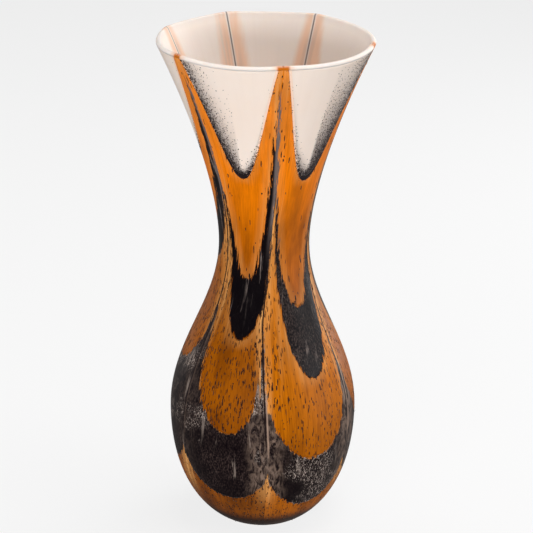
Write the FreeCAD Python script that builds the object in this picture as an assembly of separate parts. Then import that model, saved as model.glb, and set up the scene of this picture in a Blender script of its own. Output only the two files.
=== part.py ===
"""Hand blown art glass vase: a thick opal bubble wearing a flush skin of raked colour bands.

The vase stands on +Z with the origin at the centre of its foot ring's flat face.
Angles are in degrees about +Z, measured from -Y (the front) towards +X.
"""
import FreeCAD, Part
import math
import os
from FreeCAD import Vector

# The outside, in millimetres.
HEIGHT = 400.0
RIM_R = 84.0
NECK_R = 35.6
NECK_Z = 235.0             # height of the narrowest ring
BELLY_R = 74.7
BELLY_Z = 94.0             # height of the widest ring
FOOT_R = 33.0
HEEL_ANGLE = 27.0          # rise of the heel from the foot ring
FLARE_ANGLE = 65.0         # rise of the wall at the lip

# How hard the profile pulls away from each turn, as a share of the climb to the next one.
HEEL_PULL = 0.22
UNDER_BELLY_PULL = 0.60
OVER_BELLY_PULL = 0.37
UNDER_NECK_PULL = 0.37
THROAT_PULL = 0.225
FLARE_PULL = 0.43

# The glass.
LIP_WALL = 4.2
NECK_WALL = 6.4
BELLY_WALL = 5.6
FLOOR_WALL = 17.0
FLOOR_PULL = 0.62          # how flat the hollow's floor runs before it turns up
SKIN_WALL = 0.8            # the coloured skin, fused flush into the bubble
SKIN_FROM = 1.6            # the skin stops short of the ground foot ring
PONTIL_R = 21.0            # polished hollow where the pontil rod was cracked off
PONTIL_DEPTH = 2.4

# The six tool lines up which the hot trails were raked: angle at the foot, angle at the rim.
RAKES = ((-114.0, -109.0), (-60.0, -52.0), (2.0, 8.8), (62.0, 79.0), (143.0, 151.0), (197.0, 203.0))

# How hard each line was pulled, against the others.
PULLS = (1.05, 1.25, 0.92, 0.78, 1.10, 0.95)

# The six lobes between the lines, starting after the first one: how far each sags (1 is a full
# sag, less than 0 was held up) and where it hangs lowest (angle at the foot, angle at the rim).
SAGS = (-1.8, 0.0, 1.0, 0.75, 0.30, 0.15)
LOWS = ((-88.0, -82.0), (-22.0, -20.0), (33.0, 44.0), (102.0, 115.0), (171.0, 178.0), (220.0, 225.0))

# Trail boundaries from the foot up: height of an unsagged lobe, extra sag of a full one, height of
# the cusps (all as shares of HEIGHT), how much of a harder pull the cusps follow, how much of the
# climb to a cusp is a round bowl (the rest is a steep drawn side), and how far the cusp at each
# tool line strayed from it, in degrees.
STRAIGHT = (0.0, 0.0, 0.0, 0.0, 0.0, 0.0)
BOUNDARIES = (
    # foot orange / belly black
    (0.098, 0.022, 0.167, 1.0, 0.75, STRAIGHT),
    # belly black / belly orange
    (0.247, 0.058, 0.475, 0.9, 0.48, (-2.0, 2.8, -6.0, -4.0, -3.0, 2.0)),
    # belly orange / neck black
    (0.425, 0.075, 0.715, 0.3, 0.70, (2.0, 5.0, 4.5, 1.0, 2.0, -1.0)),
    # neck black / neck orange
    (0.540, 0.058, 0.985, 0.0, 0.58, STRAIGHT),
    # neck orange / powder fringe
    (0.752, 0.010, 1.050, 0.0, 1.00, STRAIGHT),
    # powder fringe / crown opal
    (0.762, 0.010, 1.085, 0.0, 1.00, STRAIGHT),
)
BOWL_POWER = 2.3           # the bowl of a lobe
SIDE_POWER = 12.0          # its drawn sides
BANDS = ("foot_orange_band", "belly_black_band", "belly_orange_band", "neck_black_band",
         "neck_orange_band", "powder_fringe", "crown_opal_lobes")

AXIS = Vector(0, 0, 1)
REACH = 1.4 * max(RIM_R, BELLY_R)      # beyond the widest glass
CORE = 0.5 * NECK_R                    # inside the narrowest hollow
STEPS = 8                              # points that carry each side of a lobe's edge
CROWDING = 1.7                         # how much closer together they are towards the cusp
TOUCH = 1e-4                           # how near counts as inside


def station(r, z, rise, before, after):
    """A point on a profile, the angle it rises at and how hard it pulls on either side."""
    return (Vector(r, 0, z), Vector(math.cos(math.radians(rise)), 0, math.sin(math.radians(rise))),
            before, after)


def inset(stations, depth):
    """The same profile moved into the glass."""
    moved = []
    for point, along, before, after in stations:
        inward = Vector(-along.z, 0, along.x)
        moved.append((point + inward * depth, along, before, after))
    return moved


def profile(stations):
    """Smooth edges through the stations, one between each two."""
    edges = []
    for (p0, t0, _, pull0), (p1, t1, pull1, _) in zip(stations, stations[1:]):
        curve = Part.BezierCurve()
        curve.setPoles([p0, p0 + t0 * pull0, p1 - t1 * pull1, p1])
        edges.append(curve.toShape())
    return edges


def spin(edges):
    """The solid that a closed outline sweeps around the axis."""
    return Part.Face(Part.Wire(edges)).revolve(Vector(0, 0, 0), AXIS, 360)


def line(a, b):
    return Part.makeLine(a, b)


# The lip is a half round of the wall's thickness, square to the flared wall.
lip_r = LIP_WALL / 2
flare = Vector(math.cos(math.radians(FLARE_ANGLE)), 0, math.sin(math.radians(FLARE_ANGLE)))
across = Vector(flare.z, 0, -flare.x)
lip_centre = Vector(RIM_R - lip_r, 0, HEIGHT - lip_r)
lip_out = lip_centre + across * lip_r
lip_in = lip_centre - across * lip_r

# The stations of the outside and of the hollow, from the bottom up.
waist, throat = NECK_Z - BELLY_Z, HEIGHT - NECK_Z
outer = [
    station(FOOT_R, 0, HEEL_ANGLE, 0, HEEL_PULL * BELLY_Z),
    station(BELLY_R, BELLY_Z, 90, UNDER_BELLY_PULL * BELLY_Z, OVER_BELLY_PULL * waist),
    station(NECK_R, NECK_Z, 90, UNDER_NECK_PULL * waist, THROAT_PULL * throat),
    station(lip_out.x, lip_out.z, FLARE_ANGLE, FLARE_PULL * throat, 0),
]
inner_belly_r = BELLY_R - BELLY_WALL
inner = [
    station(0, FLOOR_WALL, 0, 0, FLOOR_PULL * inner_belly_r),
    station(inner_belly_r, BELLY_Z, 90, UNDER_BELLY_PULL * (BELLY_Z - FLOOR_WALL), OVER_BELLY_PULL * waist),
    station(NECK_R - NECK_WALL, NECK_Z, 90, UNDER_NECK_PULL * waist, THROAT_PULL * throat),
    station(lip_in.x, lip_in.z, FLARE_ANGLE, FLARE_PULL * throat, 0),
]


def make_vessel():
    """The whole wall of glass: foot ring, heel, belly, neck, flare, lip, inside, pontil hollow."""
    foot_out, foot_in = Vector(FOOT_R, 0, 0), Vector(PONTIL_R, 0, 0)
    hollow_top, floor_top = Vector(0, 0, PONTIL_DEPTH), Vector(0, 0, FLOOR_WALL)
    # The arc through the hollow's top is level there, so the dimple is a clean dish.
    dish_r = (PONTIL_R ** 2 + PONTIL_DEPTH ** 2) / (2 * PONTIL_DEPTH)
    half = math.asin(PONTIL_R / dish_r) / 2
    dish_mid = Vector(dish_r * math.sin(half), 0, PONTIL_DEPTH - dish_r * (1 - math.cos(half)))
    lip = Part.Arc(lip_out, lip_centre + flare * lip_r, lip_in).toShape()
    dish = Part.Arc(hollow_top, dish_mid, foot_in).toShape()
    return spin(profile(outer) + [lip] + profile(inner)[::-1]
                + [line(floor_top, hollow_top), dish, line(foot_in, foot_out)])


def make_skin():
    """The coloured outer layer before it is parted into its trails."""
    deep = inset(outer, SKIN_WALL)
    top, bottom = line(outer[-1][0], deep[-1][0]), line(deep[0][0], outer[0][0])
    ring = spin(profile(outer) + [top] + profile(deep)[::-1] + [bottom])
    return ring.cut(Part.makeCylinder(REACH, SKIN_FROM))


def at_height(ends, z):
    """An angle between its values at the foot and at the rim."""
    foot, rim = ends
    return foot + (rim - foot) * min(z / HEIGHT, 1.0)


def cusp(boundary, index):
    """Where a tool line drew a boundary to, as (angle, height), counting on past a full turn."""
    level, _, top, follow, _, strays = BOUNDARIES[boundary]
    turns, line_index = divmod(index, len(RAKES))
    pull = 1 + (PULLS[line_index] - 1) * follow
    z = (level + (top - level) * pull) * HEIGHT
    return at_height(RAKES[line_index], z) + strays[line_index] + 360.0 * turns, z


def lobe(boundary, sector):
    """One lobe's edge: its left cusp, low point and right cusp, each as (angle, height)."""
    level, sag = BOUNDARIES[boundary][:2]
    z = (level - sag * SAGS[sector]) * HEIGHT
    return cusp(boundary, sector), (at_height(LOWS[sector], z), z), cusp(boundary, sector + 1)


def edge_height(boundary, sector, angle):
    """How high a lobe's edge stands at an angle."""
    left, low, right = lobe(boundary, sector)
    end = left if angle < low[0] else right
    share = (angle - low[0]) / (end[0] - low[0])
    bowl = BOUNDARIES[boundary][4]
    climb = bowl * share ** BOWL_POWER + (1 - bowl) * share ** SIDE_POWER
    return low[1] + (end[1] - low[1]) * climb


def around(radius, angle, z):
    turn = math.radians(angle)
    return Vector(radius * math.sin(turn), -radius * math.cos(turn), z)


def make_parting(boundary):
    """The radial sheet along which two trails meet, one ruled face to a lobe."""
    faces = []
    shares = [1 - (1 - i / STEPS) ** CROWDING for i in range(STEPS + 1)]
    for sector in range(len(RAKES)):
        left, low, right = lobe(boundary, sector)
        angles = ([low[0] + (left[0] - low[0]) * share for share in reversed(shares)]
                  + [low[0] + (right[0] - low[0]) * share for share in shares[1:]])
        rims = []
        for radius in (CORE, REACH):
            curve = Part.BSplineCurve()
            curve.interpolate(Points=[around(radius, a, edge_height(boundary, sector, a)) for a in angles],
                              Parameters=[i / (2 * STEPS) for i in range(2 * STEPS + 1)])
            rims.append(curve.toShape())
        faces.append(Part.makeRuledSurface(*rims))
    return Part.makeShell(faces)


def inside_band(skin, band, sector):
    """A point in the middle of a band's wall, at its lobe's lowest angle."""
    angle = lobe(min(band, len(BOUNDARIES) - 1), sector)[1][0]
    below = edge_height(band - 1, sector, angle) if band else SKIN_FROM
    above = edge_height(band, sector, angle) if band < len(BOUNDARIES) else HEIGHT - LIP_WALL
    z = (below + above) / 2
    return skin.common(line(Vector(0, 0, z), around(REACH, angle, z))).Edges[0].CenterOfMass


def part_skin(skin):
    """The skin parted into its trails, from the foot up: a list of solids for each band."""
    bands, rest = [], skin
    for band in range(len(BOUNDARIES)):
        points = [inside_band(skin, band, sector) for sector in range(len(RAKES))]
        below, above = [], []
        for piece in rest.generalFuse([make_parting(band)])[0].Solids:
            held = any(piece.isInside(point, TOUCH, False) for point in points)
            (below if held else above).append(piece)
        bands.append(below)
        rest = Part.makeCompound(above)
    return bands + [rest.Solids]


def export(name, shape):
    shape.exportStep(os.path.join("parts", name + ".step"))


def main():
    os.makedirs("parts", exist_ok=True)
    skin = make_skin()
    body = make_vessel().cut(skin)
    export("opal_body", body.Solids[0])
    for name, solids in zip(BANDS, part_skin(skin)):
        export(name, solids[0] if len(solids) == 1 else Part.makeCompound(solids))


main()
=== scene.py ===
"""A hand blown art glass vase: an opal bubble in a skin of raked orange, black and cream trails."""

import math

import bpy
import bmesh
import numpy as np
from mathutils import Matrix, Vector


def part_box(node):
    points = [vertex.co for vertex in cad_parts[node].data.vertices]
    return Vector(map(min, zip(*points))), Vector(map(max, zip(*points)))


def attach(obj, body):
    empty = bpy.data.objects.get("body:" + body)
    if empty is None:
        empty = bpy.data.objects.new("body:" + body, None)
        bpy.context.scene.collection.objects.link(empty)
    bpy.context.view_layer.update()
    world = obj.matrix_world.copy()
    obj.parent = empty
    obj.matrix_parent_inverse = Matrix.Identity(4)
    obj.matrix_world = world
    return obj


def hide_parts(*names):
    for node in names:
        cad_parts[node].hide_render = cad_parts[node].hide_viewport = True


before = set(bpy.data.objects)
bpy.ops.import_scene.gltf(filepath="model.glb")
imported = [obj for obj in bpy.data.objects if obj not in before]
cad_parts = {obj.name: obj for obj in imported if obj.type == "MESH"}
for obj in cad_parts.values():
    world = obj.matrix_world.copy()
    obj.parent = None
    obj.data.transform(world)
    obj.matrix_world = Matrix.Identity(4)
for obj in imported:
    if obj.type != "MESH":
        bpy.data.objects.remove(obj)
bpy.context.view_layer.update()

# --- The opal bubble ---------------------------------------------------------------------------
# The inner body of the vase: opal white glass gathered and blown on the pipe, with a fire polished
# lip, an acid etched inside, and a ground foot ring round the polished hollow of the pontil mark.
# Every coloured trail below is fused flush into its outside.

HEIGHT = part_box("opal_body")[1][2]
BELLY_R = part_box("belly_black_band")[1][0]
RIM_R = 0.0840
NECK_R = 0.0356
NECK_Z = 0.2350
BELLY_Z = 0.0940
FOOT_R = 0.0330
PONTIL_R = 0.0210
PONTIL_DEPTH = 0.0024
HEEL_RISE = math.radians(27)
LIP_RISE = math.radians(65)
UPRIGHT = math.radians(90)
LIP_WALL = 0.0042
NECK_WALL = 0.0064
BELLY_WALL = 0.0056
FLOOR_WALL = 0.0170
SKIN = 0.0008                 # depth of the coloured trails' seats
SKIN_FROM = 0.0016            # they stop this far above the ground foot ring
GRAIN_R = 0.060               # glass patterns are laid on a drum of this radius
# How hard the profile pulls away from each turn, as a share of the climb to the next one.
HEEL_PULL = 0.22
UNDER_BELLY_PULL = 0.60
OVER_BELLY_PULL = 0.37
UNDER_NECK_PULL = 0.37
THROAT_PULL = 0.225
FLARE_PULL = 0.43
FLOOR_PULL = 0.62
OUTSIDE_STEPS = 160
INSIDE_STEPS = 44

# The six tool lines up which the trails were raked: angle at the foot and at the rim, in degrees
# about +Z from the front towards +X.
RAKES = ((-114, -109), (-60, -52), (2, 8.8), (62, 79), (143, 151), (197, 203))
PULLS = (1.05, 1.25, 0.92, 0.78, 1.10, 0.95)        # how hard each was pulled
# The six lobes between the lines: how far each sags, and where it hangs lowest, foot and rim.
SAGS = (-1.8, 0.0, 1.0, 0.75, 0.30, 0.15)
LOWS = ((-88, -82), (-22, -20), (33, 44), (102, 115), (171, 178), (220, 225))
# Level, extra sag and cusp as shares of the height, how far the cusps follow the pulls, the round
# share of the climb to a cusp, and how far each cusp strayed from its tool line in degrees.
STRAIGHT = (0, 0, 0, 0, 0, 0)
PARTINGS = (
    (0.098, 0.022, 0.167, 1.0, 0.75, STRAIGHT),
    (0.247, 0.058, 0.475, 0.9, 0.48, (-2, 2.8, -6, -4, -3, 2)),
    (0.425, 0.075, 0.715, 0.3, 0.70, (2, 5, 4.5, 1, 2, -1)),
    (0.540, 0.058, 0.985, 0.0, 0.58, STRAIGHT),
    (0.752, 0.010, 1.050, 0.0, 1.00, STRAIGHT),
    (0.762, 0.010, 1.085, 0.0, 1.00, STRAIGHT),
)
BOWL_POWER = 2.3              # the round bowl of a lobe
SIDE_POWER = 12               # its drawn sides
# The trails are numbered from the foot up, and each reaches from the parting numbered one less to
# the parting of its own number.
FOOT, BELLY_BLACK, BELLY_ORANGE, NECK_BLACK, NECK_ORANGE, FRINGE, CROWN = range(7)


def bezier(stations, steps):
    """Points on smooth arcs through stations of (r, z, rise, pull before, pull after)."""
    points = []
    for (r0, z0, rise0, _, pull0), (r1, z1, rise1, pull1, _) in zip(stations, stations[1:]):
        a, d = np.array((r0, z0)), np.array((r1, z1))
        b = a + pull0 * np.array((math.cos(rise0), math.sin(rise0)))
        c = d - pull1 * np.array((math.cos(rise1), math.sin(rise1)))
        for t in np.linspace(0, 1, steps)[1 if points else 0:]:
            s = 1 - t
            points.append(s ** 3 * a + 3 * t * s ** 2 * b + 3 * t * t * s * c + t ** 3 * d)
    return np.array(points)


lip_r = LIP_WALL / 2
lip_centre = np.array((RIM_R - lip_r, HEIGHT - lip_r))
lip_across = np.array((math.sin(LIP_RISE), -math.cos(LIP_RISE)))
lip_along = np.array((math.cos(LIP_RISE), math.sin(LIP_RISE)))
lip_out, lip_in = lip_centre + lip_r * lip_across, lip_centre - lip_r * lip_across
LIP_Z = lip_out[1]            # where the coloured trails end
waist, throat = NECK_Z - BELLY_Z, HEIGHT - NECK_Z
hollow_r = BELLY_R - BELLY_WALL
outside = bezier([(FOOT_R, 0, HEEL_RISE, 0, HEEL_PULL * BELLY_Z),
                  (BELLY_R, BELLY_Z, UPRIGHT, UNDER_BELLY_PULL * BELLY_Z, OVER_BELLY_PULL * waist),
                  (NECK_R, NECK_Z, UPRIGHT, UNDER_NECK_PULL * waist, THROAT_PULL * throat),
                  (*lip_out, LIP_RISE, FLARE_PULL * throat, 0)], OUTSIDE_STEPS)
inside = bezier([(0, FLOOR_WALL, 0, 0, FLOOR_PULL * hollow_r),
                 (hollow_r, BELLY_Z, UPRIGHT, UNDER_BELLY_PULL * (BELLY_Z - FLOOR_WALL),
                  OVER_BELLY_PULL * waist),
                 (NECK_R - NECK_WALL, NECK_Z, UPRIGHT, UNDER_NECK_PULL * waist, THROAT_PULL * throat),
                 (*lip_in, LIP_RISE, FLARE_PULL * throat, 0)], INSIDE_STEPS)


def at_height(ends, z):
    """An angle between its values at the foot and at the rim."""
    return ends[0] + (ends[1] - ends[0]) * np.clip(z / HEIGHT, 0, 1)


def cusp(parting, index):
    """Angle and height to which a tool line drew a parting, counting on past a full turn."""
    level, _, top, follow, _, strays = PARTINGS[parting]
    line = index % 6
    z = (level + (top - level) * (1 + (PULLS[line] - 1) * follow)) * HEIGHT
    return at_height(RAKES[line], z) + 360 * (index // 6) + strays[line], z


def lobe(parting, sector):
    """One lobe's edge: its left cusp, low point and right cusp, each as (angle, height)."""
    level, sag = PARTINGS[parting][:2]
    z = (level - sag * SAGS[sector]) * HEIGHT
    return cusp(parting, sector), (at_height(LOWS[sector], z), z), cusp(parting, sector + 1)


def climb(parting, share):
    """Share of the climb from a lobe's low point to its cusp: a round bowl, then a drawn side."""
    bowl = PARTINGS[parting][4]
    return bowl * share ** BOWL_POWER + (1 - bowl) * share ** SIDE_POWER


def parting_height(parting, angle):
    """How high a parting stands at each angle."""
    height = np.zeros_like(angle)
    for sector in range(6):
        (start, left), (low, bottom), (stop, right) = lobe(parting, sector)
        here = start + (angle - start) % 360
        share = np.where(here < low, (low - here) / (low - start), (here - low) / (stop - low))
        top = np.where(here < low, left, right)
        edge = bottom + (top - bottom) * climb(parting, np.clip(share, 0, 1))
        height = np.where(here <= stop, edge, height)
    return height


def radius_at(z):
    return np.interp(z, outside[:, 1], outside[:, 0])


def tool_path(index, z):
    """Angle of the way that a tool took up the glass, through the cusps that it drew."""
    foot, rim = RAKES[index % 6]
    knots = [(foot, 0)] + [cusp(parting, index % 6) for parting in range(4)] + [(rim, HEIGHT)]
    turns, heights = zip(*knots)
    return np.interp(z, heights, turns) + 360 * (index // 6)


def between_lines(angle, z):
    """The lobe a point is in plus its share of the way across it, and the lobe's width there."""
    flow, width = np.zeros_like(angle), np.ones_like(angle)
    for sector in range(6):
        start, stop = tool_path(sector, z), tool_path(sector + 1, z)
        here = start + (angle - start) % 360
        flow = np.where(here <= stop, sector + (here - start) / (stop - start), flow)
        width = np.where(here <= stop, np.radians(stop - start) * radius_at(z), width)
    return flow, width


BURNT = (0.35, 0.55, 0.0, 0.30, 0.15, 0.40)         # how brown the orange of each lobe went
CREASE_WIDTH = 0.0022                               # of the rim's crease along a tool line


def place_notes(angle, z):
    """What every point on the vase knows: its place on the pattern drum, where it stands between two
    tool lines, how burnt its lobe is, and how much the rim's flat and crease change it."""
    flow, width = between_lines(angle, z)
    share = flow % 1
    burnt = np.array(BURNT)[np.minimum(flow.astype(int), 5)]
    turn, phase = np.radians(60 * flow), 2 * np.pi * share
    reach = width * np.minimum(share, 1 - share)
    return {"grain": np.stack([GRAIN_R * np.sin(turn), -GRAIN_R * np.cos(turn), z], axis=-1),
            "phase": np.stack([np.sin(phase), np.cos(phase), width], axis=-1), "burnt": burnt,
            "chord": np.sin(np.pi * share), "crease": np.exp(-(reach / CREASE_WIDTH) ** 2)}


# The trails seen through the milky wall are blurred over this many degrees, and over more near the
# tool line at the back. Samples are taken at these shares of the blur and at these heights.
BLUR = 3.4
BLUR_AT_BACK = 2.6            # this much more at that line
BACK_SPAN = 25                # fading out about so many degrees from it
BLUR_TURNS = (-1.0, -0.6, -0.2, 0.2, 0.6, 1.0)
BLUR_LIFTS = (-0.004, 0.0, 0.004)
SHOW_THROUGH = 2.4            # how much stronger a trail shows than its share, until it is full


def coloured_share(angle, z, band):
    """How strongly a trail shows, blurred through the milky wall, at a point inside."""
    total = np.zeros_like(angle)
    aside_back = (angle - RAKES[5][1] + 180) % 360 - 180
    blur = BLUR + BLUR_AT_BACK * np.exp(-(aside_back / BACK_SPAN) ** 2)
    offsets = [(turn, lift) for turn in BLUR_TURNS for lift in BLUR_LIFTS]
    for turn, lift in offsets:
        at, up = angle + turn * blur, np.clip(z + lift, 0, HEIGHT)
        over = parting_height(band - 1, at) < up if band > FOOT else True
        total += np.logical_and(over, up <= parting_height(band, at))
    return np.minimum(SHOW_THROUGH * total / len(offsets), 1)


def in_scene(name, data):
    thing = bpy.data.objects.new(name, data)
    bpy.context.scene.collection.objects.link(thing)
    return thing


def flat_mesh(name, grids, notes):
    """An unrolled sheet: grids of (angle, row, depth) points, with notes kept at each point."""
    verts, faces = [], []
    for grid in grids:
        first = len(verts)
        columns, rows = grid.shape[:2]
        verts.extend(map(tuple, grid.reshape(-1, 3)))
        for i in range(columns - 1):
            for j in range(rows - 1):
                a = first + i * rows + j
                faces.append((a, a + rows, a + rows + 1, a + 1))
    mesh = bpy.data.meshes.new(name)
    mesh.from_pydata(verts, [], faces)
    for key, values in notes.items():
        kind, field = ("FLOAT_VECTOR", "vector") if values.ndim == 2 else ("FLOAT", "value")
        mesh.attributes.new(key, kind, "POINT").data.foreach_set(field, values.ravel())
    return in_scene(name, mesh)


def outline_object(name, points):
    """A profile kept as a line of points (r, 0, z) for the rolling tree to read."""
    mesh = bpy.data.meshes.new(name)
    mesh.from_pydata([(r, 0, z) for r, z in points], [(i, i + 1) for i in range(len(points) - 1)], [])
    return in_scene(name, mesh)


def put(tree, kind, inputs=(), **settings):
    """A node with its settings made and its sockets filled or wired."""
    node = tree.nodes.new(kind)
    for key, value in settings.items():
        setattr(node, key, value)
    for key, value in dict(inputs).items():
        if isinstance(value, bpy.types.NodeSocket):
            tree.links.new(value, node.inputs[key])
        else:
            node.inputs[key].default_value = value
    return node


def made(tree, kind, inputs=(), **settings):
    """The first thing that such a node puts out."""
    return put(tree, kind, inputs, **settings).outputs[0]


def math_in(tree, operation, a, b=0.0, clamp=False):
    return made(tree, "ShaderNodeMath", {0: a, 1: b}, operation=operation, use_clamp=clamp)


def plus(tree, a, b, clamp=False):
    return math_in(tree, "ADD", a, b, clamp)


def minus(tree, a, b):
    return math_in(tree, "SUBTRACT", a, b)


def times(tree, product, *factors, clamp=False):
    for factor in factors:
        product = math_in(tree, "MULTIPLY", product, factor, clamp)
    return product


def new_group(name, kind, inputs, outputs):
    """An empty node group with named sockets; gives the tree and what it is given."""
    tree = bpy.data.node_groups.new(name, kind)
    for sockets, way in ((inputs, "INPUT"), (outputs, "OUTPUT")):
        for label, socket_kind, *default in sockets:
            socket = tree.interface.new_socket(label, in_out=way, socket_type="NodeSocket" + socket_kind)
            if default:
                socket.default_value = default[0]
    return tree, tree.nodes.new("NodeGroupInput").outputs


def put_out(tree, geometry, glass):
    """The end of a tree that makes geometry: real, smooth and in its glass."""
    for kind, more in (("GeometryNodeRealizeInstances", {}), ("GeometryNodeSetShadeSmooth", {}),
                       ("GeometryNodeSetMaterial", {"Material": glass})):
        geometry = made(tree, kind, {"Geometry": geometry, **more})
    put(tree, "NodeGroupOutput", {"Geometry": geometry})
    return tree


FLARE_FROM = 0.70             # the hand worked rim starts at this share of the height
WELD = 0.00001                # points closer than this are one point


def rolling_tree():
    """Rolls an unrolled sheet round the axis on a profile, and works the rim as a hand does."""
    tree, given = new_group("roll on the bubble", "GeometryNodeTree",
                            [("Sheet", "Geometry"), ("Profile", "Object"), ("Flatten", "Float", 0.0),
                             ("Dip", "Float", 0.0), ("Groove", "Float", 0.0), ("Glass", "Material")],
                            [("Geometry", "Geometry")])
    profile = put(tree, "GeometryNodeObjectInfo", {"Object": given["Profile"]}).outputs["Geometry"]
    point = made(tree, "GeometryNodeInputPosition")
    angle, row, depth = put(tree, "ShaderNodeSeparateXYZ", {0: point}).outputs
    whole = math_in(tree, "FLOOR", row)
    ends = []
    for step in (0, 1):
        sample = put(tree, "GeometryNodeSampleIndex",
                     {"Geometry": profile, "Index": plus(tree, whole, step)},
                     data_type="FLOAT_VECTOR", domain="POINT", clamp=True)
        tree.links.new(point, sample.inputs["Value"])
        ends.append(sample.outputs[0])
    on_profile = put(tree, "ShaderNodeMix", {"Factor": minus(tree, row, whole), 4: ends[0], 5: ends[1]},
                     data_type="VECTOR").outputs[1]
    along = made(tree, "ShaderNodeVectorMath", {0: ends[1], 1: ends[0]}, operation="SUBTRACT")
    unit = made(tree, "ShaderNodeVectorMath", {0: along}, operation="NORMALIZE")
    outward, _, upward = put(tree, "ShaderNodeSeparateXYZ", {0: unit}).outputs
    r, _, z = put(tree, "ShaderNodeSeparateXYZ", {0: on_profile}).outputs
    radius = minus(tree, r, times(tree, upward, depth))
    height = plus(tree, z, times(tree, outward, depth))
    # The flare is a little flat between the tool lines, dips there, and is creased along them.
    flare = made(tree, "ShaderNodeMapRange",
                 {"Value": height, "From Min": FLARE_FROM * HEIGHT, "From Max": HEIGHT},
                 interpolation_type="SMOOTHSTEP")
    chord, crease = (made(tree, "GeometryNodeInputNamedAttribute", {"Name": name}, data_type="FLOAT")
                     for name in ("chord", "crease"))
    worked = times(tree, chord, flare)
    radius = minus(tree, radius, times(tree, worked, given["Flatten"]))
    radius = minus(tree, radius, times(tree, crease, given["Groove"], flare))
    height = minus(tree, height, times(tree, worked, given["Dip"]))
    x = times(tree, radius, math_in(tree, "SINE", angle))
    y = times(tree, radius, math_in(tree, "COSINE", angle), -1.0)
    place = made(tree, "ShaderNodeCombineXYZ", {0: x, 1: y, 2: height})
    rolled = made(tree, "GeometryNodeSetPosition", {"Geometry": given["Sheet"], "Position": place})
    closed = made(tree, "GeometryNodeMergeByDistance", {"Geometry": rolled, "Distance": WELD})
    return put_out(tree, closed, given["Glass"])


ROLL = rolling_tree()
RIM_FLATTEN = 0.0003          # how far in the rim lies between the tool lines
RIM_DIP = 0.0012              # how far it dips there
RIM_GROOVE = 0.0003           # and how deep its creases are along them
DEGENERATE = 0.000002         # edges shorter than this are taken out


def run_tree(piece, tree, values):
    """Runs a node tree on a piece and keeps the result as its plain mesh."""
    modifier = piece.modifiers.new(tree.name, "NODES")
    modifier.node_group = tree
    for item in tree.interface.items_tree:
        if item.in_out == "INPUT" and item.name in values:
            modifier[item.identifier] = values[item.name]
    seen = piece.evaluated_get(bpy.context.evaluated_depsgraph_get())
    mesh = bpy.data.meshes.new_from_object(seen)
    piece.modifiers.remove(modifier)
    piece.data = mesh
    shell = bmesh.new()
    shell.from_mesh(mesh)
    bmesh.ops.dissolve_degenerate(shell, dist=DEGENERATE, edges=shell.edges)
    bmesh.ops.recalc_face_normals(shell, faces=shell.faces)
    shell.to_mesh(mesh)
    shell.free()
    return piece


def fit(piece, profile, glass, node):
    """Rolls a piece's sheet on its profile and puts it in its place on the vase."""
    run_tree(piece, ROLL, {"Profile": profile, "Flatten": RIM_FLATTEN, "Dip": RIM_DIP,
                           "Groove": RIM_GROOVE, "Glass": glass})
    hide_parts(node)
    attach(piece, "root")
    return piece


def noise(tree, where, scale, detail, roughness=0.5, twist=0.0):
    """Clouds on the pattern drum: one scale, or one for each axis where they are drawn out."""
    if isinstance(scale, tuple):
        where, scale = made(tree, "ShaderNodeMapping", {0: where, "Scale": scale}), 1.0
    return made(tree, "ShaderNodeTexNoise", {"Vector": where, "Scale": scale, "Detail": detail,
                                             "Roughness": roughness, "Distortion": twist})


def ramp(tree, value, start, stop, low=0.0, high=1.0, shape="LINEAR"):
    """A change from low to high as a value goes from start to stop."""
    return made(tree, "ShaderNodeMapRange", {"Value": value, "From Min": start, "From Max": stop,
                                             "To Min": low, "To Max": high}, interpolation_type=shape)


def fade(tree, value, start, stop, low=0.0, high=1.0):
    """The same change, easing in and out."""
    return ramp(tree, value, start, stop, low, high, "SMOOTHSTEP")


def attribute(tree, name, kind="Fac"):
    return put(tree, "ShaderNodeAttribute", attribute_name=name).outputs[kind]


def mix_colour(tree, factor, a, b):
    return put(tree, "ShaderNodeMix", {"Factor": factor, 6: a, 7: b}, data_type="RGBA").outputs[2]


def shared(tree, group, inputs):
    """One shared effect, placed in a material with its own values."""
    return put(tree, "ShaderNodeGroup", inputs, node_tree=group).outputs


def satin_group():
    """The fine tooth that acid leaves on glass: a height for bump and a small swing of roughness."""
    tree, given = new_group("satin etch", "ShaderNodeTree", [("Grain", "Vector")],
                            [("Height", "Float"), ("Roughness", "Float")])
    tooth = noise(tree, given["Grain"], 900, 3, 0.7)
    broad = noise(tree, given["Grain"], 38, 4, 0.55)
    put(tree, "NodeGroupOutput", {"Height": tooth, "Roughness": ramp(tree, broad, 0.3, 0.7, 0.40, 0.54)})
    return tree


def line_group():
    """Distance from the nearest tool line, along the glass: minus to its left, plus to its right."""
    tree, given = new_group("tool line", "ShaderNodeTree", [("Phase", "Vector")], [("Aside", "Float")])
    sine, cosine, width = put(tree, "ShaderNodeSeparateXYZ", {0: given["Phase"]}).outputs
    turn = math_in(tree, "DIVIDE", math_in(tree, "ARCTAN2", sine, cosine), 2 * math.pi)
    put(tree, "NodeGroupOutput", {"Aside": times(tree, turn, width)})
    return tree


def opal_group():
    """Opal white: cream, warmer and cooler in slow clouds, with faint drawn strings in it."""
    tree, given = new_group("opal white", "ShaderNodeTree",
                            [("Grain", "Vector"), ("Tint", "Color", (0.93, 0.77, 0.66, 1))],
                            [("Color", "Color")])
    pale = ramp(tree, noise(tree, given["Grain"], 26, 5, 0.6), 0.35, 0.7, 0.0, 0.30)
    strings = ramp(tree, noise(tree, given["Grain"], (260, 260, 12), 3), 0.45, 0.8, 0.0, 0.10)
    warm = mix_colour(tree, pale, given["Tint"], (0.95, 0.86, 0.78, 1))
    put(tree, "NodeGroupOutput", {"Color": mix_colour(tree, strings, warm, (0.72, 0.60, 0.52, 1))})
    return tree


SATIN, LINE, OPAL = satin_group(), line_group(), opal_group()


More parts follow.
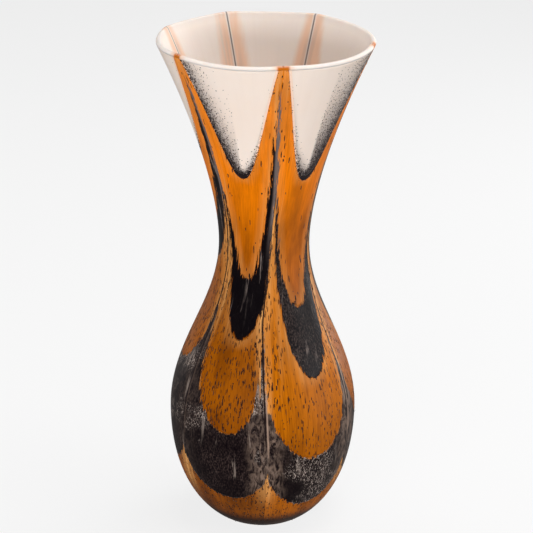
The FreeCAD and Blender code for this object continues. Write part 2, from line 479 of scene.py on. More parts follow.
def beside_line(tree, outer, inner, shift=0.0):
    """A strip along the tool lines: 0 past its outer distance, 1 within its inner one."""
    aside = shared(tree, LINE, {"Phase": attribute(tree, "phase", "Vector")})["Aside"]
    return fade(tree, math_in(tree, "ABSOLUTE", minus(tree, aside, shift)), outer, inner)


GLOSS = 0.12
SHEEN = 0.055
SHEEN_TINT = (1.0, 0.90, 0.84, 1)


def satin_glass(name, colour_of, scatter=0.0):
    """A satin glass: its colour from colour_of(tree, grain), its etch from the shared group."""
    glass = bpy.data.materials.new(name)
    glass.use_nodes = True
    tree = glass.node_tree
    tree.nodes.clear()
    grain = attribute(tree, "grain", "Vector")
    etch = shared(tree, SATIN, {"Grain": grain})
    bump = made(tree, "ShaderNodeBump", {"Height": etch["Height"], "Strength": 0.06, "Distance": 0.0002})
    surface = made(tree, "ShaderNodeBsdfPrincipled", {
        "Base Color": colour_of(tree, grain), "Roughness": etch["Roughness"], "Normal": bump,
        "IOR": 1.50, "Specular IOR Level": GLOSS, "Sheen Weight": SHEEN, "Sheen Roughness": 0.35,
        "Sheen Tint": SHEEN_TINT, "Subsurface Weight": scatter, "Subsurface Scale": 0.006,
        "Subsurface Radius": (1.0, 0.7, 0.5)})
    put(tree, "ShaderNodeOutputMaterial", {"Surface": surface})
    return glass


OPAL_TINT = (0.90, 0.80, 0.73, 1)
PEACH = (0.86, 0.47, 0.26, 1)              # orange seen through opal
SHADOWED = (0.36, 0.33, 0.33, 1)           # black seen through opal, and the painted shade on the lip
TOOL_LINE = (0.24, 0.19, 0.18, 1)
LIP_ORANGE = (0.52, 0.135, 0.006, 1)


def bubble_colour(tree, grain):
    """Opal with the trails outside showing through it, blurred, the fine tool lines, and painted shade on
    the lip.
    """
    opal = shared(tree, OPAL, {"Grain": grain, "Tint": OPAL_TINT})["Color"]
    glow = times(tree, attribute(tree, "orange_behind"), beside_line(tree, 0.0006, 0.0024), 0.62)
    dusk = times(tree, attribute(tree, "black_behind"), 0.55)
    # Painted shade: the lip greyed under its middle outside and a little over its top.
    shade = times(tree, attribute(tree, "lip_shade"), 0.45)
    showing = mix_colour(tree, dusk, mix_colour(tree, glow, opal, PEACH), SHADOWED)
    lined = mix_colour(tree, beside_line(tree, 0.0011, 0.0002), showing, TOOL_LINE)
    shaded = mix_colour(tree, shade, lined, SHADOWED)
    return mix_colour(tree, attribute(tree, "over_lip"), shaded, LIP_ORANGE)


RING_BEVEL = 0.0006           # the ground ring starts this far outside the pontil hollow
WALL_EVERY = 6                # every sixth point of the outside carries the wall under the skin
# The orange tongues over the lip: full to six tenths of its height, and half gone at its top.
OVER_LIP, OVER_LIP_LOSS = 1.8, 1.3
# Painted shade on the lip: full from just above its middle down outside, and a little from just below its
# middle up over the top.
SHADE_OUTSIDE, SHADE_OVER = 1.0, 0.45
SHADE_REACH_UP, SHADE_REACH_DOWN = 0.0003, 0.0005


def bubble_outline():
    """The bubble's section from the pontil hollow round the foot, up, over the lip and down inside."""
    dish_r = (PONTIL_R ** 2 + PONTIL_DEPTH ** 2) / (2 * PONTIL_DEPTH)
    dish = [(r, PONTIL_DEPTH - dish_r + math.sqrt(dish_r ** 2 - r * r))
            for r in np.linspace(0, PONTIL_R, 9)]
    ring = [(r, 0.0) for r in np.linspace(PONTIL_R + RING_BEVEL, FOOT_R, 5)]
    slope = np.gradient(outside, axis=0)
    slope /= np.linalg.norm(slope, axis=1)[:, None]
    sunk = outside + SKIN * np.stack([-slope[:, 1], slope[:, 0]], axis=1)
    wall = [(radius_at(SKIN_FROM), SKIN_FROM)]
    wall += [tuple(p) for p in sunk[::WALL_EVERY] if p[1] > SKIN_FROM + SKIN] + [tuple(sunk[-1])]
    around_lip = [tuple(lip_centre + lip_r * (math.cos(a) * lip_across + math.sin(a) * lip_along))
                  for a in np.linspace(0, math.pi, 11)]
    return dish + ring + wall + around_lip + [tuple(p) for p in inside[::-1][1:]]


def bubble_notes(angle, r, z):
    """Place notes, with the trails that show inside, the orange drawn over the lip, and painted shade on
    the lip.
    """
    notes = place_notes(angle, z)
    for name, bands in (("orange_behind", (NECK_ORANGE, BELLY_ORANGE, FOOT)),
                        ("black_behind", (NECK_BLACK, BELLY_BLACK))):
        notes[name] = sum(coloured_share(angle, z, band) for band in bands)
    on_outside = (r > lip_centre[0]) & (z > LIP_Z - SKIN)
    up_lip = np.clip(OVER_LIP - OVER_LIP_LOSS * (z - LIP_Z) / (HEIGHT - LIP_Z), 0, 1)
    tongues = parting_height(NECK_ORANGE, angle) > LIP_Z
    notes["over_lip"] = np.where(on_outside & tongues, up_lip, 0)
    # Painted shade on the lip: a little over its top, full on its outside below its middle.
    over = np.where(z > lip_centre[1] - SHADE_REACH_DOWN, SHADE_OVER, 0.0)
    below = on_outside & (z < lip_centre[1] + SHADE_REACH_UP)
    notes["lip_shade"] = np.where(below, SHADE_OUTSIDE, over)
    return notes


outline = bubble_outline()
bubble_line = outline_object("bubble_section", outline)
BUBBLE_COLUMNS = 288
angles = np.linspace(0, 360, BUBBLE_COLUMNS + 1)
rows = np.arange(len(outline), dtype=float)
grid = np.stack(np.meshgrid(np.radians(angles), rows, [0.0], indexing="ij"), axis=-1)[:, :, 0, :]
outline_r, outline_z = (np.tile(values, len(angles)) for values in np.array(outline).T)
notes = bubble_notes(np.repeat(angles, len(rows)), outline_r, outline_z)
bubble = flat_mesh("opal_bubble", [grid], notes)
fit(bubble, bubble_line, satin_glass("opal white glass", bubble_colour, scatter=0.25), "opal_body")

# --- The foot trail ----------------------------------------------------------------------------
# The first trail, orange opaque glass wound round the bottom of the bubble and marvered flush, so
# it wraps the heel. The rake caught its upper edge and drew it up into the black at each tool line.

DRUM_STEP = 0.001
SHEET = 0.94 * SKIN           # a trail's thickness, a hair less than its seat's depth
HALF_COLUMNS = 24             # columns on each side of a lobe
CROWDING = 1.7                # how much closer together they are towards the cusp
drum_z = np.arange(0, HEIGHT, DRUM_STEP)
drum_line = outline_object("outside_section", [(radius_at(z), z) for z in drum_z[drum_z <= LIP_Z]]
                           + [tuple(lip_out)])


def parting_distance(parting, angle, z):
    """Distance along the glass from a parting, positive above it."""
    nudge = 0.25              # degrees to each side, for the parting's slope
    above = parting_height(parting, angle + nudge)
    below = parting_height(parting, angle - nudge)
    slope = (above - below) / (2 * math.radians(nudge) * radius_at(z))
    return (z - parting_height(parting, angle)) / np.sqrt(1 + slope ** 2)


def edge_points(parting, sector, shares, left, beside=None):
    """Points along one side of a lobe, by share of the way from its low point to its cusp."""
    if parting < 0:
        angle, _ = edge_points(0, sector, shares, left)
        return angle, np.full_like(shares, SKIN_FROM)
    if parting == CROWN:
        return beside, np.full_like(shares, LIP_Z)
    first, (low, bottom), last = lobe(parting, sector)
    end, top = first if left else last
    return low + (end - low) * shares, bottom + (top - bottom) * climb(parting, shares)


def trail_columns(band):
    """Columns up one trail, each with angle and height on its lower and upper edge: one closed ring,
    or six separate lobes where the trail below it reaches the lip between them."""
    spread = np.linspace(0, 1, HALF_COLUMNS + 1)
    shares = 1 - (1 - spread) ** CROWDING
    lobes = []
    for sector in range(6):
        reachable = 1.0
        if band >= FRINGE:
            (_, top), (_, bottom), _ = lobe(band - 1, sector)
            reachable = np.interp((LIP_Z - bottom) / (top - bottom), climb(band - 1, spread), spread)
        sides = []
        for left in (True, False):
            steps = (shares[::-1] if left else shares[1:]) * reachable
            below = edge_points(band - 1, sector, steps, left)
            above = edge_points(band, sector, steps, left, below[0])
            sides.append(np.stack([*below, *above], axis=-1))
        lobes.append(np.concatenate(sides))
    if band >= FRINGE:
        return lobes
    ring = np.concatenate([columns[:-1] for columns in lobes])
    return [np.concatenate([ring, ring[:1] + np.array((360, 0, 360, 0))])]


def trail(name, band, row_count, extra=None):
    """The flat sheets of one trail, as thick as the skin, ready to roll: faces, then edges."""
    sheets = []
    t = np.linspace(0, 1, row_count)
    for columns in trail_columns(band):
        a0, z0, a1, z1 = (columns[:, i:i + 1] for i in range(4))
        reach = np.clip((LIP_Z - z0) / np.maximum(z1 - z0, 1e-6), 0, 1)
        at = a0 + (a1 - a0) * t * reach
        up = np.minimum(z0 + (z1 - z0) * t * reach, LIP_Z)
        sheets.append((at, up, np.zeros_like(at), True))
        sheets.append((at[::-1], up[::-1], np.full_like(at, SHEET), False))
        for row in (0, -1):
            edge_at, edge_up = (np.repeat(values[:, row][:, None], 2, 1) for values in (at, up))
            sheets.append((edge_at, edge_up, np.tile((0.0, SHEET), (len(at), 1)), False))
    grids = [np.stack([np.radians(at), up / DRUM_STEP, depth], -1) for at, up, depth, _ in sheets]
    angle, z = (np.concatenate([sheet[i].ravel() for sheet in sheets]) for i in (0, 1))
    notes = place_notes(angle, z)
    notes["from_below"] = parting_distance(band - 1, angle, z) if band > FOOT else z * 0 + 1
    notes["from_above"] = parting_distance(band, angle, z) if band < CROWN else z * 0 - 1
    notes.update(extra(angle, z, notes) if extra else {})
    if "frit" in notes:
        on_face = np.concatenate([np.full(at.size, face) for at, _, _, face in sheets])
        notes["frit"] = notes["frit"] * on_face
    return flat_mesh(name, grids, notes)


def combed_group():
    """The combed edge where two trails meet: which side of it a point falls on, 0 below, 1 above."""
    tree, given = new_group("combed edge", "ShaderNodeTree",
                            [("Distance", "Float"), ("Grain", "Vector"), ("Swing", "Float", 0.003),
                             ("Soft", "Float", 0.0003)], [("Above", "Float")])
    comb = minus(tree, noise(tree, given["Grain"], (520, 520, 60), 4, 0.65), 0.5)
    moved = plus(tree, given["Distance"], times(tree, comb, given["Swing"]))
    above = fade(tree, moved, times(tree, given["Soft"], -1.0), given["Soft"])
    put(tree, "NodeGroupOutput", {"Above": above})
    return tree


def drawn_out(tree, grain, across, along):
    """Places on the pattern drum, scaled across the glass and along it."""
    size = made(tree, "ShaderNodeCombineXYZ", {0: across, 1: across, 2: along})
    return made(tree, "ShaderNodeVectorMath", {0: grain, 1: size}, operation="MULTIPLY")


def strings_group():
    """Fine strings drawn up the glass with the rake: a mask from 0 to 1."""
    tree, given = new_group("drawn strings", "ShaderNodeTree",
                            [("Grain", "Vector"), ("Fineness", "Float", 600.0), ("Draw", "Float", 20.0),
                             ("From", "Float", 0.45), ("To", "Float", 0.75)], [("Mask", "Float")])
    drawn = drawn_out(tree, given["Grain"], given["Fineness"], given["Draw"])
    string = noise(tree, drawn, 1.0, 4, 0.6, 0.4)
    put(tree, "NodeGroupOutput", {"Mask": ramp(tree, string, given["From"], given["To"])})
    return tree


def chips_group():
    """Chips of dark glass caught in a trail and drawn long: a mask, thicker where Plenty is high."""
    tree, given = new_group("drawn chips", "ShaderNodeTree",
                            [("Grain", "Vector"), ("Across", "Float", 300.0), ("Along", "Float", 110.0),
                             ("Plenty", "Float", 0.5)], [("Mask", "Float")])
    drawn = drawn_out(tree, given["Grain"], given["Across"], given["Along"])
    swirl = put(tree, "ShaderNodeTexNoise", {"Vector": drawn, "Scale": 1.6, "Detail": 3.0})
    bent = made(tree, "ShaderNodeVectorMath", {0: swirl.outputs["Color"], 1: (0.5, 0.5, 0.5)},
                operation="SUBTRACT")
    spot = made(tree, "ShaderNodeVectorMath", {0: bent, 1: (0.6, 0.6, 0.6), 2: drawn},
                operation="MULTIPLY_ADD")
    cells = put(tree, "ShaderNodeTexVoronoi", {"Vector": spot, "Scale": 1.0, "Randomness": 1.0})
    chance = made(tree, "ShaderNodeSeparateColor", {0: cells.outputs["Color"]})
    size = times(tree, minus(tree, given["Plenty"], chance), 0.75)
    within = minus(tree, size, cells.outputs["Distance"])
    put(tree, "NodeGroupOutput", {"Mask": ramp(tree, within, -0.04, 0.06)})
    return tree


COMBED, STRINGS, CHIPS = combed_group(), strings_group(), chips_group()


def orange_group():
    """Orange opaque glass: deep strings, clouds of brown, small drawn specks, pale where thin."""
    tree, given = new_group("orange trail", "ShaderNodeTree",
                            [("Grain", "Vector"), ("Bright", "Color", (0.86, 0.26, 0.01, 1)),
                             ("Deep", "Color", (0.40, 0.11, 0.006, 1)), ("Specks", "Float", 0.5),
                             ("Strings", "Float", 0.5), ("Thin", "Float", 0.0), ("Burnt", "Float", 0.0)],
                            [("Color", "Color")])
    grain = given["Grain"]
    clouds = fade(tree, noise(tree, grain, (46, 46, 17), 5, 0.6), 0.40, 0.66, 0.0, 0.45)
    brown = plus(tree, clouds, given["Burnt"], clamp=True)
    base = mix_colour(tree, brown, given["Bright"], given["Deep"])
    fine = shared(tree, STRINGS, {"Grain": grain, "Fineness": 900.0, "Draw": 36.0, "From": 0.44,
                                  "To": 0.70})["Mask"]
    pale = shared(tree, STRINGS, {"Grain": grain, "Fineness": 300.0, "Draw": 12.0, "From": 0.50,
                                  "To": 0.72})["Mask"]
    strung = mix_colour(tree, times(tree, fine, given["Strings"]), base, given["Deep"])
    thin = times(tree, given["Thin"], plus(tree, 0.55, pale), clamp=True)
    lit = mix_colour(tree, thin, strung, (0.80, 0.40, 0.13, 1))
    specks = shared(tree, CHIPS, {"Grain": grain, "Across": 620.0, "Along": 190.0,
                                  "Plenty": given["Specks"]})["Mask"]
    specked = mix_colour(tree, times(tree, specks, 0.80), lit, (0.05, 0.014, 0.005, 1))
    put(tree, "NodeGroupOutput", {"Color": specked})
    return tree


def black_group():
    """Black glass: charcoal with ash in it, pale drawn wisps, a crackle of flecks and brown marbling."""
    tree, given = new_group("black trail", "ShaderNodeTree",
                            [("Grain", "Vector"), ("Base", "Color", (0.010, 0.007, 0.009, 1)),
                             ("Pale", "Color", (0.28, 0.23, 0.21, 1)), ("Ash", "Float", 0.3),
                             ("Wisps", "Float", 0.5), ("Flecks", "Float", 0.5), ("Marble", "Float", 0.0)],
                            [("Color", "Color")])
    grain = given["Grain"]
    dust = fade(tree, noise(tree, grain, (1300, 1300, 520), 3), 0.42, 0.72)
    here = fade(tree, noise(tree, grain, 38, 4), 0.36, 0.62)
    wisps = shared(tree, STRINGS, {"Grain": grain, "Fineness": 210.0, "Draw": 24.0, "From": 0.60,
                                   "To": 0.68})["Mask"]
    veins = fade(tree, noise(tree, grain, (330, 330, 95), 6, 0.62, 1.1), 0.40, 0.62)
    crackle = fade(tree, noise(tree, grain, (1150, 1150, 560), 6, 0.75, 0.5), 0.53, 0.60)
    patches = fade(tree, noise(tree, grain, 22, 3, 0.6), 0.48, 0.58)
    colour = given["Base"]
    for share, laid in (
            (times(tree, dust, given["Ash"], plus(tree, 0.35, here)), (0.17, 0.115, 0.100, 1)),
            (times(tree, wisps, given["Wisps"], here), given["Pale"]),
            (times(tree, veins, given["Marble"]), (0.22, 0.15, 0.115, 1)),
            (times(tree, crackle, patches, given["Flecks"]), (0.58, 0.47, 0.41, 1))):
        colour = mix_colour(tree, share, colour, laid)
    put(tree, "NodeGroupOutput", {"Color": colour})
    return tree


ORANGE, BLACK = orange_group(), black_group()
NEARLY_BLACK = (0.012, 0.006, 0.006, 1)


def height_of(tree, grain):
    return put(tree, "ShaderNodeSeparateXYZ", {0: grain}).outputs["Z"]


def tool_mark(tree):
    """The fine dark line that the tool left in a trail."""
    return beside_line(tree, 0.0009, 0.0003)


def near_edge(tree, note, reach):
    """1 along an edge of a trail, fading to 0 at a distance from it."""
    return fade(tree, math_in(tree, "ABSOLUTE", attribute(tree, note)), reach, 0.0)


def parted(tree, grain, note, below, above, swing=0.010):
    """Two glasses meeting along a combed edge."""
    side = shared(tree, COMBED, {"Distance": attribute(tree, note), "Grain": grain, "Swing": swing})
    return mix_colour(tree, side["Above"], below, above)


def foot_orange(tree, grain):
    """Orange that is thin and pale beside the tool lines, and painted dark with shade under the heel."""
    height = height_of(tree, grain)
    thin = times(tree, beside_line(tree, 0.012, 0.001), fade(tree, height, 0.026, 0.052, 0.05, 0.70))
    glass = shared(tree, ORANGE, {"Grain": grain, "Bright": (0.50, 0.130, 0.003, 1), "Specks": 0.62,
                                  "Deep": (0.10, 0.026, 0.003, 1), "Strings": 0.60, "Thin": thin,
                                  "Burnt": attribute(tree, "burnt")})["Color"]
    # Painted shade: nearly black towards the bottom, where the heel turns under.
    return mix_colour(tree, fade(tree, height, 0.024, 0.011, 0.0, 0.95), glass, (0.012, 0.005, 0.004, 1))


# The black is veined on one side: the direction on the pattern drum of the lobe between the front
# and right tool lines, and how far towards it the veins begin and are full.
VEINED_SIDE = (0.5, 0.866, 0.0)
VEINED_FROM, VEINED_TO = 0.006, 0.042


def belly_black(tree, grain):
    """Black with pale wisps, and on one side brown veins and a beige strip along the tool lines."""
    height = height_of(tree, grain)
    facing = put(tree, "ShaderNodeVectorMath", {0: grain, 1: VEINED_SIDE},
                 operation="DOT_PRODUCT").outputs["Value"]
    veined_here = fade(tree, facing, VEINED_FROM, VEINED_TO, 0.15, 1.0)
    clouds = fade(tree, noise(tree, grain, 60, 4), 0.34, 0.58, 0.25, 1.0)
    marble = times(tree, beside_line(tree, 0.020, 0.003), veined_here, clouds)
    glass = shared(tree, BLACK, {"Grain": grain, "Base": (0.003, 0.001, 0.002, 1), "Ash": 0.24,
                                 "Pale": (0.34, 0.27, 0.23, 1), "Wisps": 0.60, "Flecks": 0.80,
                                 "Marble": marble})["Color"]
    strip = times(tree, beside_line(tree, 0.0010, 0.0002, 0.0017), veined_here,
                  fade(tree, height, 0.070, 0.095, 0.0, 0.62))
    veined = mix_colour(tree, strip, glass, (0.46, 0.31, 0.23, 1))
    line = times(tree, tool_mark(tree), fade(tree, height, 0.075, 0.10))
    return mix_colour(tree, line, veined, NEARLY_BLACK)


def foot_colour(tree, grain):
    return parted(tree, grain, "from_above", foot_orange(tree, grain), belly_black(tree, grain))


def fit_trail(name, band, rows, glass, node, extra=None):
    """Rolls a trail on to the bubble, in its seat."""
    return fit(trail(name, band, rows, extra), drum_line, glass, node)


def frit_tree():
    """Chips or grains of glass lying flush in a trail where its points call for them, drawn up it."""
    tree, given = new_group("scattered frit", "GeometryNodeTree",
                            [("Surface", "Geometry"), ("Chip", "Object"), ("Most", "Float", 1000.0),
                             ("Width", "Float", 0.0005), ("Length", "Float", 0.002),
                             ("Proud", "Float", 0.00005), ("Seed", "Int", 1), ("Glass", "Material")],
                            [("Geometry", "Geometry")])
    call = made(tree, "GeometryNodeInputNamedAttribute", {"Name": "frit"}, data_type="FLOAT")
    points = put(tree, "GeometryNodeDistributePointsOnFaces",
                 {"Mesh": given["Surface"], "Seed": given["Seed"],
                  "Density": times(tree, call, given["Most"])})
    upright = made(tree, "FunctionNodeAlignRotationToVector",
                   {"Rotation": points.outputs["Rotation"], "Vector": (0.0, 0.0, 1.0)}, axis="Y",
                   pivot_axis="Z")
    sides = []
    for side, shift, least, most in (("Width", 11, 0.45, 1.25), ("Length", 23, 0.25, 1.35)):
        draw = put(tree, "FunctionNodeRandomValue", {2: least, 3: most, "Seed": shift}, data_type="FLOAT")
        sides.append(times(tree, draw.outputs[1], given[side]))
    scale = made(tree, "ShaderNodeCombineXYZ", {0: sides[0], 1: sides[1], 2: given["Proud"]})
    chip = put(tree, "GeometryNodeObjectInfo", {"Object": given["Chip"]}).outputs["Geometry"]
    placed = made(tree, "GeometryNodeInstanceOnPoints",
                  {"Points": points.outputs["Points"], "Instance": chip, "Rotation": upright,
                   "Scale": scale})
    return put_out(tree, placed, given["Glass"])


FRIT = frit_tree()
FRIT_PROUD = 0.00012
chip_mesh = bpy.data.meshes.new("one_chip")
chip_shape = bmesh.new()
bmesh.ops.create_icosphere(chip_shape, subdivisions=1, radius=0.5)
chip_shape.to_mesh(chip_mesh)
chip_shape.free()
one_chip = in_scene("one_chip", chip_mesh)


def chip_colour(tree, grain):
    return mix_colour(tree, fade(tree, noise(tree, grain, 300, 2), 0.35, 0.65), (0.008, 0.004, 0.005, 1),
                      (0.045, 0.016, 0.010, 1))


CHIP_GLASS = satin_glass("dark frit", chip_colour)


def strew(name, trail_piece, most, width, length, seed):
    """Frit strewn in one trail, at most so many chips to the square metre where it lies thick."""
    frit = in_scene(name, trail_piece.data.copy())
    run_tree(frit, FRIT, {"Chip": one_chip, "Most": most, "Width": width, "Length": length,
                          "Proud": FRIT_PROUD, "Seed": seed, "Glass": CHIP_GLASS})
    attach(frit, "root")


def even_frit(angle, z, notes):
    return {"frit": np.ones_like(z)}


foot = fit_trail("foot_trail", FOOT, 26, satin_glass("foot orange glass", foot_colour),
                 "foot_orange_band", even_frit)
strew("foot_frit", foot, most=75000, width=0.0011, length=0.0017, seed=3)

# --- The lower belly trail ---------------------------------------------------------------------
# Black glass wound on next, the widest trail, with pale veins where it was stretched thin as the
# belly was blown. Raked up between the orange lobes above it in fine dark lines.

BELLY_SWING = 0.014           # how ragged the comb left the belly's trails where they meet


def upper_belly_orange(tree, grain):
    """Deep orange, browner low on the belly as painted shade, pale beside its upper edge and the tool
    lines.
    """
    thin = plus(tree, times(tree, near_edge(tree, "from_above", 0.009), 0.30),
                times(tree, beside_line(tree, 0.009, 0.001), 0.40), clamp=True)
    # Painted shade: the orange turns browner and darker low on the belly.
    painted_low_shade = fade(tree, height_of(tree, grain), 0.145, 0.075, 0.0, 0.30)
    burnt = plus(tree, attribute(tree, "burnt"), painted_low_shade)
    glass = shared(tree, ORANGE, {"Grain": grain, "Bright": (0.51, 0.138, 0.0, 1), "Specks": 0.50,
                                  "Deep": (0.19, 0.046, 0.0, 1), "Strings": 0.70, "Thin": thin,
                                  "Burnt": burnt})["Color"]
    return mix_colour(tree, tool_mark(tree), glass, NEARLY_BLACK)


def belly_black_colour(tree, grain):
    low = parted(tree, grain, "from_below", foot_orange(tree, grain), belly_black(tree, grain))
    return parted(tree, grain, "from_above", low, upper_belly_orange(tree, grain), BELLY_SWING)


fit_trail("belly_black_trail", BELLY_BLACK, 44, satin_glass("belly black glass", belly_black_colour),
          "belly_black_band")

# --- The upper belly trail ---------------------------------------------------------------------
# Orange opaque glass round the shoulder and upper belly, full of dark chips that the rake and the
# blowing drew long, thickest towards the bottom of each lobe.

SHOULDER_SWING = 0.011
GIVES_OUT = (0.368, 0.384)    # the heights between which the neck's black lines fade into orange


def neck_black(tree, grain):
    """Pure black, ashen with painted sheen where the lobe is less burnt, with a grey core in its drawn
    lines.
    """
    height = height_of(tree, grain)
    core = times(tree, beside_line(tree, 0.0030, 0.0008), fade(tree, height, 0.22, 0.30), 0.75)
    # The ash is the glass's own dust. Its strength on the front right lobe also paints the grey sheen of
    # the light from the right.
    ash_and_sheen = fade(tree, attribute(tree, "burnt"), 0.50, 0.05, 0.02, 0.26)
    glass = shared(tree, BLACK, {"Grain": grain, "Base": (0.002, 0.001, 0.002, 1), "Ash": ash_and_sheen,
                                 "Pale": (0.34, 0.27, 0.24, 1), "Wisps": 0.70,
                                 "Flecks": times(tree, ash_and_sheen, 0.35)})["Color"]
    cored = mix_colour(tree, core, glass, (0.20, 0.155, 0.145, 1))
    return mix_colour(tree, fade(tree, height, *GIVES_OUT), cored, (0.62, 0.16, 0.0, 1))


def upper_belly_colour(tree, grain):
    low = parted(tree, grain, "from_below", belly_black(tree, grain), upper_belly_orange(tree, grain),
                 BELLY_SWING)
    return parted(tree, grain, "from_above", low, neck_black(tree, grain), SHOULDER_SWING)


def belly_frit(angle, z, notes):
    """Chips crowd in the lowest 60 mm of each lobe, and more lie where the orange is burnt."""
    low = np.clip(1 - notes["from_below"] / 0.060, 0, 1) ** 1.2
    return {"frit": 0.03 + low + 1.2 * notes["burnt"]}


upper = fit_trail("belly_orange_trail", BELLY_ORANGE, 60,
                  satin_glass("belly orange glass", upper_belly_colour), "belly_orange_band", belly_frit)
strew("belly_frit", upper, most=62000, width=0.00085, length=0.0050, seed=5)

# --- The neck's black trail --------------------------------------------------------------------
# Nearly pure black glass round the lower neck, with a few pale wisps. The rake drew it up in thin
# lines almost to the lip.

NECK_SWING = 0.012


def neck_orange(tree, grain):
    """The brightest orange, browner towards the bottom, thin along both of its edges."""
    thin = plus(tree, times(tree, near_edge(tree, "from_above", 0.006), 0.25),
                times(tree, near_edge(tree, "from_below", 0.014), 0.28))
    burnt = fade(tree, height_of(tree, grain), 0.315, 0.230, 0.0, 0.68)
    return shared(tree, ORANGE, {"Grain": grain, "Bright": (0.90, 0.215, 0.0, 1), "Specks": 0.12,
                                 "Deep": (0.30, 0.070, 0.0, 1), "Strings": 0.45, "Thin": thin,
                                 "Burnt": burnt})["Color"]


def neck_black_colour(tree, grain):
    low = parted(tree, grain, "from_below", upper_belly_orange(tree, grain), neck_black(tree, grain),
                 SHOULDER_SWING)
    return parted(tree, grain, "from_above", low, neck_orange(tree, grain), NECK_SWING)


fit_trail("neck_black_trail", NECK_BLACK, 60, satin_glass("neck black glass", neck_black_colour),
          "neck_black_band")

# --- The neck's orange trail -------------------------------------------------------------------
# The brightest orange opaque glass, the last trail to be wound on and marvered flush. The rake drew
# its tongues up each tool line to the lip, and powder from the fringe is caught in its upper edge.

POWDER_BLACK = (0.014, 0.010, 0.012, 1)


def powder_group():
    """Black powder melted in: blots where it lies thick, then separate grains, then none."""
    tree, given = new_group("melted powder", "ShaderNodeTree",
                            [("Grain", "Vector"), ("Plenty", "Float", 0.5)], [("Mask", "Float")])
    thick = plus(tree, times(tree, noise(tree, given["Grain"], 800, 3, 0.7), 1.6), given["Plenty"])
    grains = shared(tree, CHIPS, {"Grain": given["Grain"], "Across": 1000.0, "Along": 900.0,
                                  "Plenty": times(tree, given["Plenty"], 1.1)})["Mask"]
    blots = fade(tree, thick, 1.52, 1.68)
    put(tree, "NodeGroupOutput", {"Mask": math_in(tree, "MAXIMUM", blots, grains)})
    return tree


POWDER = powder_group()


def neck_orange_colour(tree, grain):
    """The neck's orange, with blots of the fringe's powder caught along its upper edge."""
    orange = parted(tree, grain, "from_below", neck_black(tree, grain), neck_orange(tree, grain),
                    NECK_SWING)
    caught = times(tree, near_edge(tree, "from_above", 0.0035), 0.62)
    blots = shared(tree, POWDER, {"Grain": grain, "Plenty": caught})["Mask"]
    return mix_colour(tree, blots, orange, POWDER_BLACK)


def neck_frit(angle, z, notes):
    """A few chips all over, more of them in the trail's lowest 70 mm."""
    return {"frit": 0.25 + np.clip(1 - notes["from_below"] / 0.070, 0, 1)}


neck = fit_trail("neck_orange_trail", NECK_ORANGE, 60,
                 satin_glass("neck orange glass", neck_orange_colour), "neck_orange_band", neck_frit)
strew("neck_frit", neck, most=7500, width=0.0011, length=0.0060, seed=8)

# --- The powder fringe -------------------------------------------------------------------------
# Black glass powder picked up along the lower edge of each cream lobe: a thin dark line with a
# blotted edge, heavy at the bottom of the lobe and down the side that was dragged.

DRAGGED = (-1, -1, 1, 1, -1, 1)            # the side of each lobe that carries most of the powder
SPREADS = (1.0, 1.1, 2.5, 1.3, 1.0, 1.2)   # how much further it went in each lobe
# Along a lobe's edge, from -1 at the cusp of its clean side to 1 at that of its dragged side: how
# far the powder spread, and how thick it lies at the edge.
DRIFT_AT, DRIFTS = (-0.50, 0.0, 0.45), (0.0010, 0.0060, 0.0120)
THICK_AT, THICKS = (-0.85, -0.50, 0.0, 0.50, 0.95), (0.15, 0.62, 1.05, 0.90, 0.70)
EDGE_STEPS = 70
THINNING = 1.25                            # how sharply it thins at the end of its spread
CROWN_TINT = (0.93, 0.76, 0.65, 1)


def powder_notes(angle, z, notes):
    """Powder spread from the nearest point of each lobe's edge, thickest at the edge."""
    flow, _ = between_lines(angle, z)
    sector = np.minimum(flow.astype(int), 5)
    drift = np.zeros_like(z)
    steps = np.linspace(0, 1, EDGE_STEPS)
    for number in range(6):
        here = np.nonzero(sector == number)[0]
        sides = [edge_points(FRINGE, number, steps, left) for left in (True, False)]
        edge_angle, edge_z = (np.concatenate(pair) for pair in zip(*sides))
        along = np.concatenate([-steps, steps]) * DRAGGED[number]
        turn = (angle[here, None] - edge_angle + 180) % 360 - 180
        gaps = np.hypot(np.radians(turn) * radius_at(z[here])[:, None], z[here, None] - edge_z)
        place = along[np.argmin(gaps, axis=1)]
        spread = np.interp(place, DRIFT_AT, DRIFTS) * SPREADS[number]
        thick = np.interp(place, THICK_AT, THICKS)
        above = z[here] > parting_height(FRINGE, angle[here]) + WELD
        away = np.where(above, np.min(gaps, axis=1), 0)
        drift[here] = thick * np.exp(-(away / spread) ** THINNING)
    return {"drift": drift, "frit": drift * (0.3 + drift)}


def fringe_colour(tree, grain):
    """Powder over cream that glows with the orange trail under it."""
    opal = shared(tree, OPAL, {"Grain": grain, "Tint": CROWN_TINT})["Color"]
    glowing = mix_colour(tree, 0.35, opal, PEACH)
    ground = parted(tree, grain, "from_below", neck_orange(tree, grain), glowing, swing=0.001)
    plenty = plus(tree, attribute(tree, "drift"), 0.08)
    powder = shared(tree, POWDER, {"Grain": grain, "Plenty": plenty})["Mask"]
    return mix_colour(tree, powder, ground, POWDER_BLACK)


fit_trail("powder_fringe_trail", FRINGE, 8, satin_glass("black powder glass", fringe_colour),
          "powder_fringe", powder_notes)

# --- The crown lobes ---------------------------------------------------------------------------
# Cream opal laid over the flare in one lobe between each two tool lines, with black powder
# scattered into it from the fringe.


def crown_colour(tree, grain):
    """Cream opal, hazed and then blotted with powder."""
    opal = shared(tree, OPAL, {"Grain": grain, "Tint": CROWN_TINT})["Color"]
    drift = attribute(tree, "drift")
    haze = mix_colour(tree, fade(tree, drift, 0.02, 1.0, 0.0, 0.88), opal, (0.10, 0.085, 0.09, 1))
    powder = shared(tree, POWDER, {"Grain": grain, "Plenty": drift})["Mask"]
    return mix_colour(tree, times(tree, powder, 0.9), haze, POWDER_BLACK)


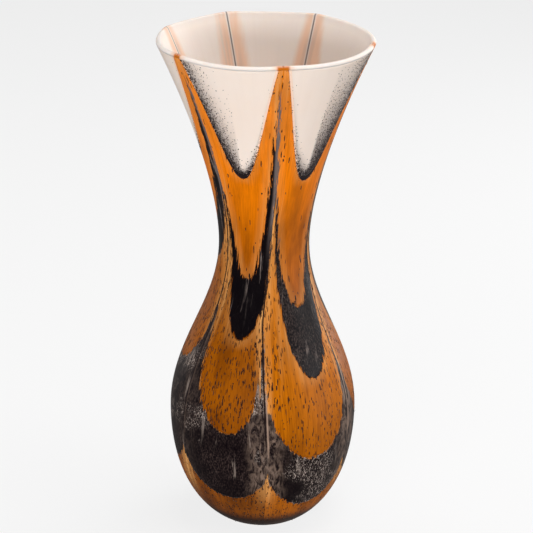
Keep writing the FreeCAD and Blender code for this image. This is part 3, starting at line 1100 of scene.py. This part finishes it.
crown = fit_trail("crown_lobes", CROWN, 50, satin_glass("crown opal glass", crown_colour, scatter=0.15),
                  "crown_opal_lobes", powder_notes)
strew("powder_grains", crown, most=700000, width=0.00090, length=0.00110, seed=13)

for helper in (bubble_line, drum_line, one_chip):
    bpy.data.objects.remove(helper)

# --- The studio --------------------------------------------------------------------------------
# A plain pale sweep that glows a little, soft boxes in front, at the sides and above, and the camera
# looking down at the rim.

FLOOR_HALF = 6.0
corners = [(x * FLOOR_HALF, y * FLOOR_HALF, 0) for x, y in ((-1, -1), (1, -1), (1, 1), (-1, 1))]
floor_mesh = bpy.data.meshes.new("studio_floor")
floor_mesh.from_pydata(corners, [], [(0, 1, 2, 3)])
floor = in_scene("studio_floor", floor_mesh)
floor.visible_glossy = False
floor.visible_diffuse = False
paper = bpy.data.materials.new("pale paper")
paper.use_nodes = True
paper.node_tree.nodes.clear()
paper_surface = made(paper.node_tree, "ShaderNodeBsdfPrincipled", {
    "Base Color": (0.13, 0.13, 0.13, 1), "Roughness": 0.9, "Specular IOR Level": 0.0,
    "Emission Color": (1, 1, 1, 1), "Emission Strength": 0.80})
put(paper.node_tree, "ShaderNodeOutputMaterial", {"Surface": paper_surface})
floor_mesh.materials.append(paper)


def soft_box(name, place, aim, width, height, power, glossy=True):
    """A rectangular lamp, which glass mirrors unless it isn't glossy."""
    light = bpy.data.lights.new(name, "AREA")
    light.shape = "RECTANGLE"
    light.size, light.size_y = width, height
    light.energy = power
    box = in_scene(name, light)
    box.location = place
    box.rotation_euler = (Vector(aim) - Vector(place)).to_track_quat("-Z", "Y").to_euler()
    box.visible_glossy = glossy


MIDDLE = (0, 0, HEIGHT / 2)
RIM_MIDDLE = (0, 0, HEIGHT)
soft_box("front_key", (-0.65, -1.6, 0.35), MIDDLE, width=1.0, height=0.6, power=28, glossy=False)
soft_box("left_box", (-1.1, 0.9, 0.5), MIDDLE, width=0.7, height=1.2, power=3)
soft_box("right_box", (1.3, -0.4, 0.1), MIDDLE, width=0.7, height=1.2, power=14)
soft_box("right_back_box", (1.1, 0.9, 0.5), MIDDLE, width=0.7, height=1.2, power=14)
soft_box("top_box", (0.25, 0.1, 1.6), RIM_MIDDLE, width=1.0, height=1.0, power=16)

world = bpy.data.worlds.new("studio")
world.use_nodes = True
air = world.node_tree.nodes["Background"].inputs
air["Color"].default_value = (1, 1, 1, 1)
air["Strength"].default_value = 0.15
bpy.context.scene.world = world
bpy.context.scene.view_settings.view_transform = "Standard"

# The camera stands four heights away and looks down about a fifth of a right angle.
CAMERA_AWAY = 1.60
CAMERA_UP = 0.830
CAMERA_ASIDE = -0.0035
LOOK_DOWN = math.radians(21.10)
CAMERA_ROLL = math.radians(-0.52)
FOCAL_LENGTH = 146.3
lens = bpy.data.cameras.new("camera")
lens.lens = FOCAL_LENGTH
lens.clip_start, lens.clip_end = 0.05, 50
camera = in_scene("camera", lens)
camera.location = (CAMERA_ASIDE, -CAMERA_AWAY, CAMERA_UP)
camera.rotation_euler = (math.pi / 2 - LOOK_DOWN, CAMERA_ROLL, 0)
bpy.context.scene.camera = camera
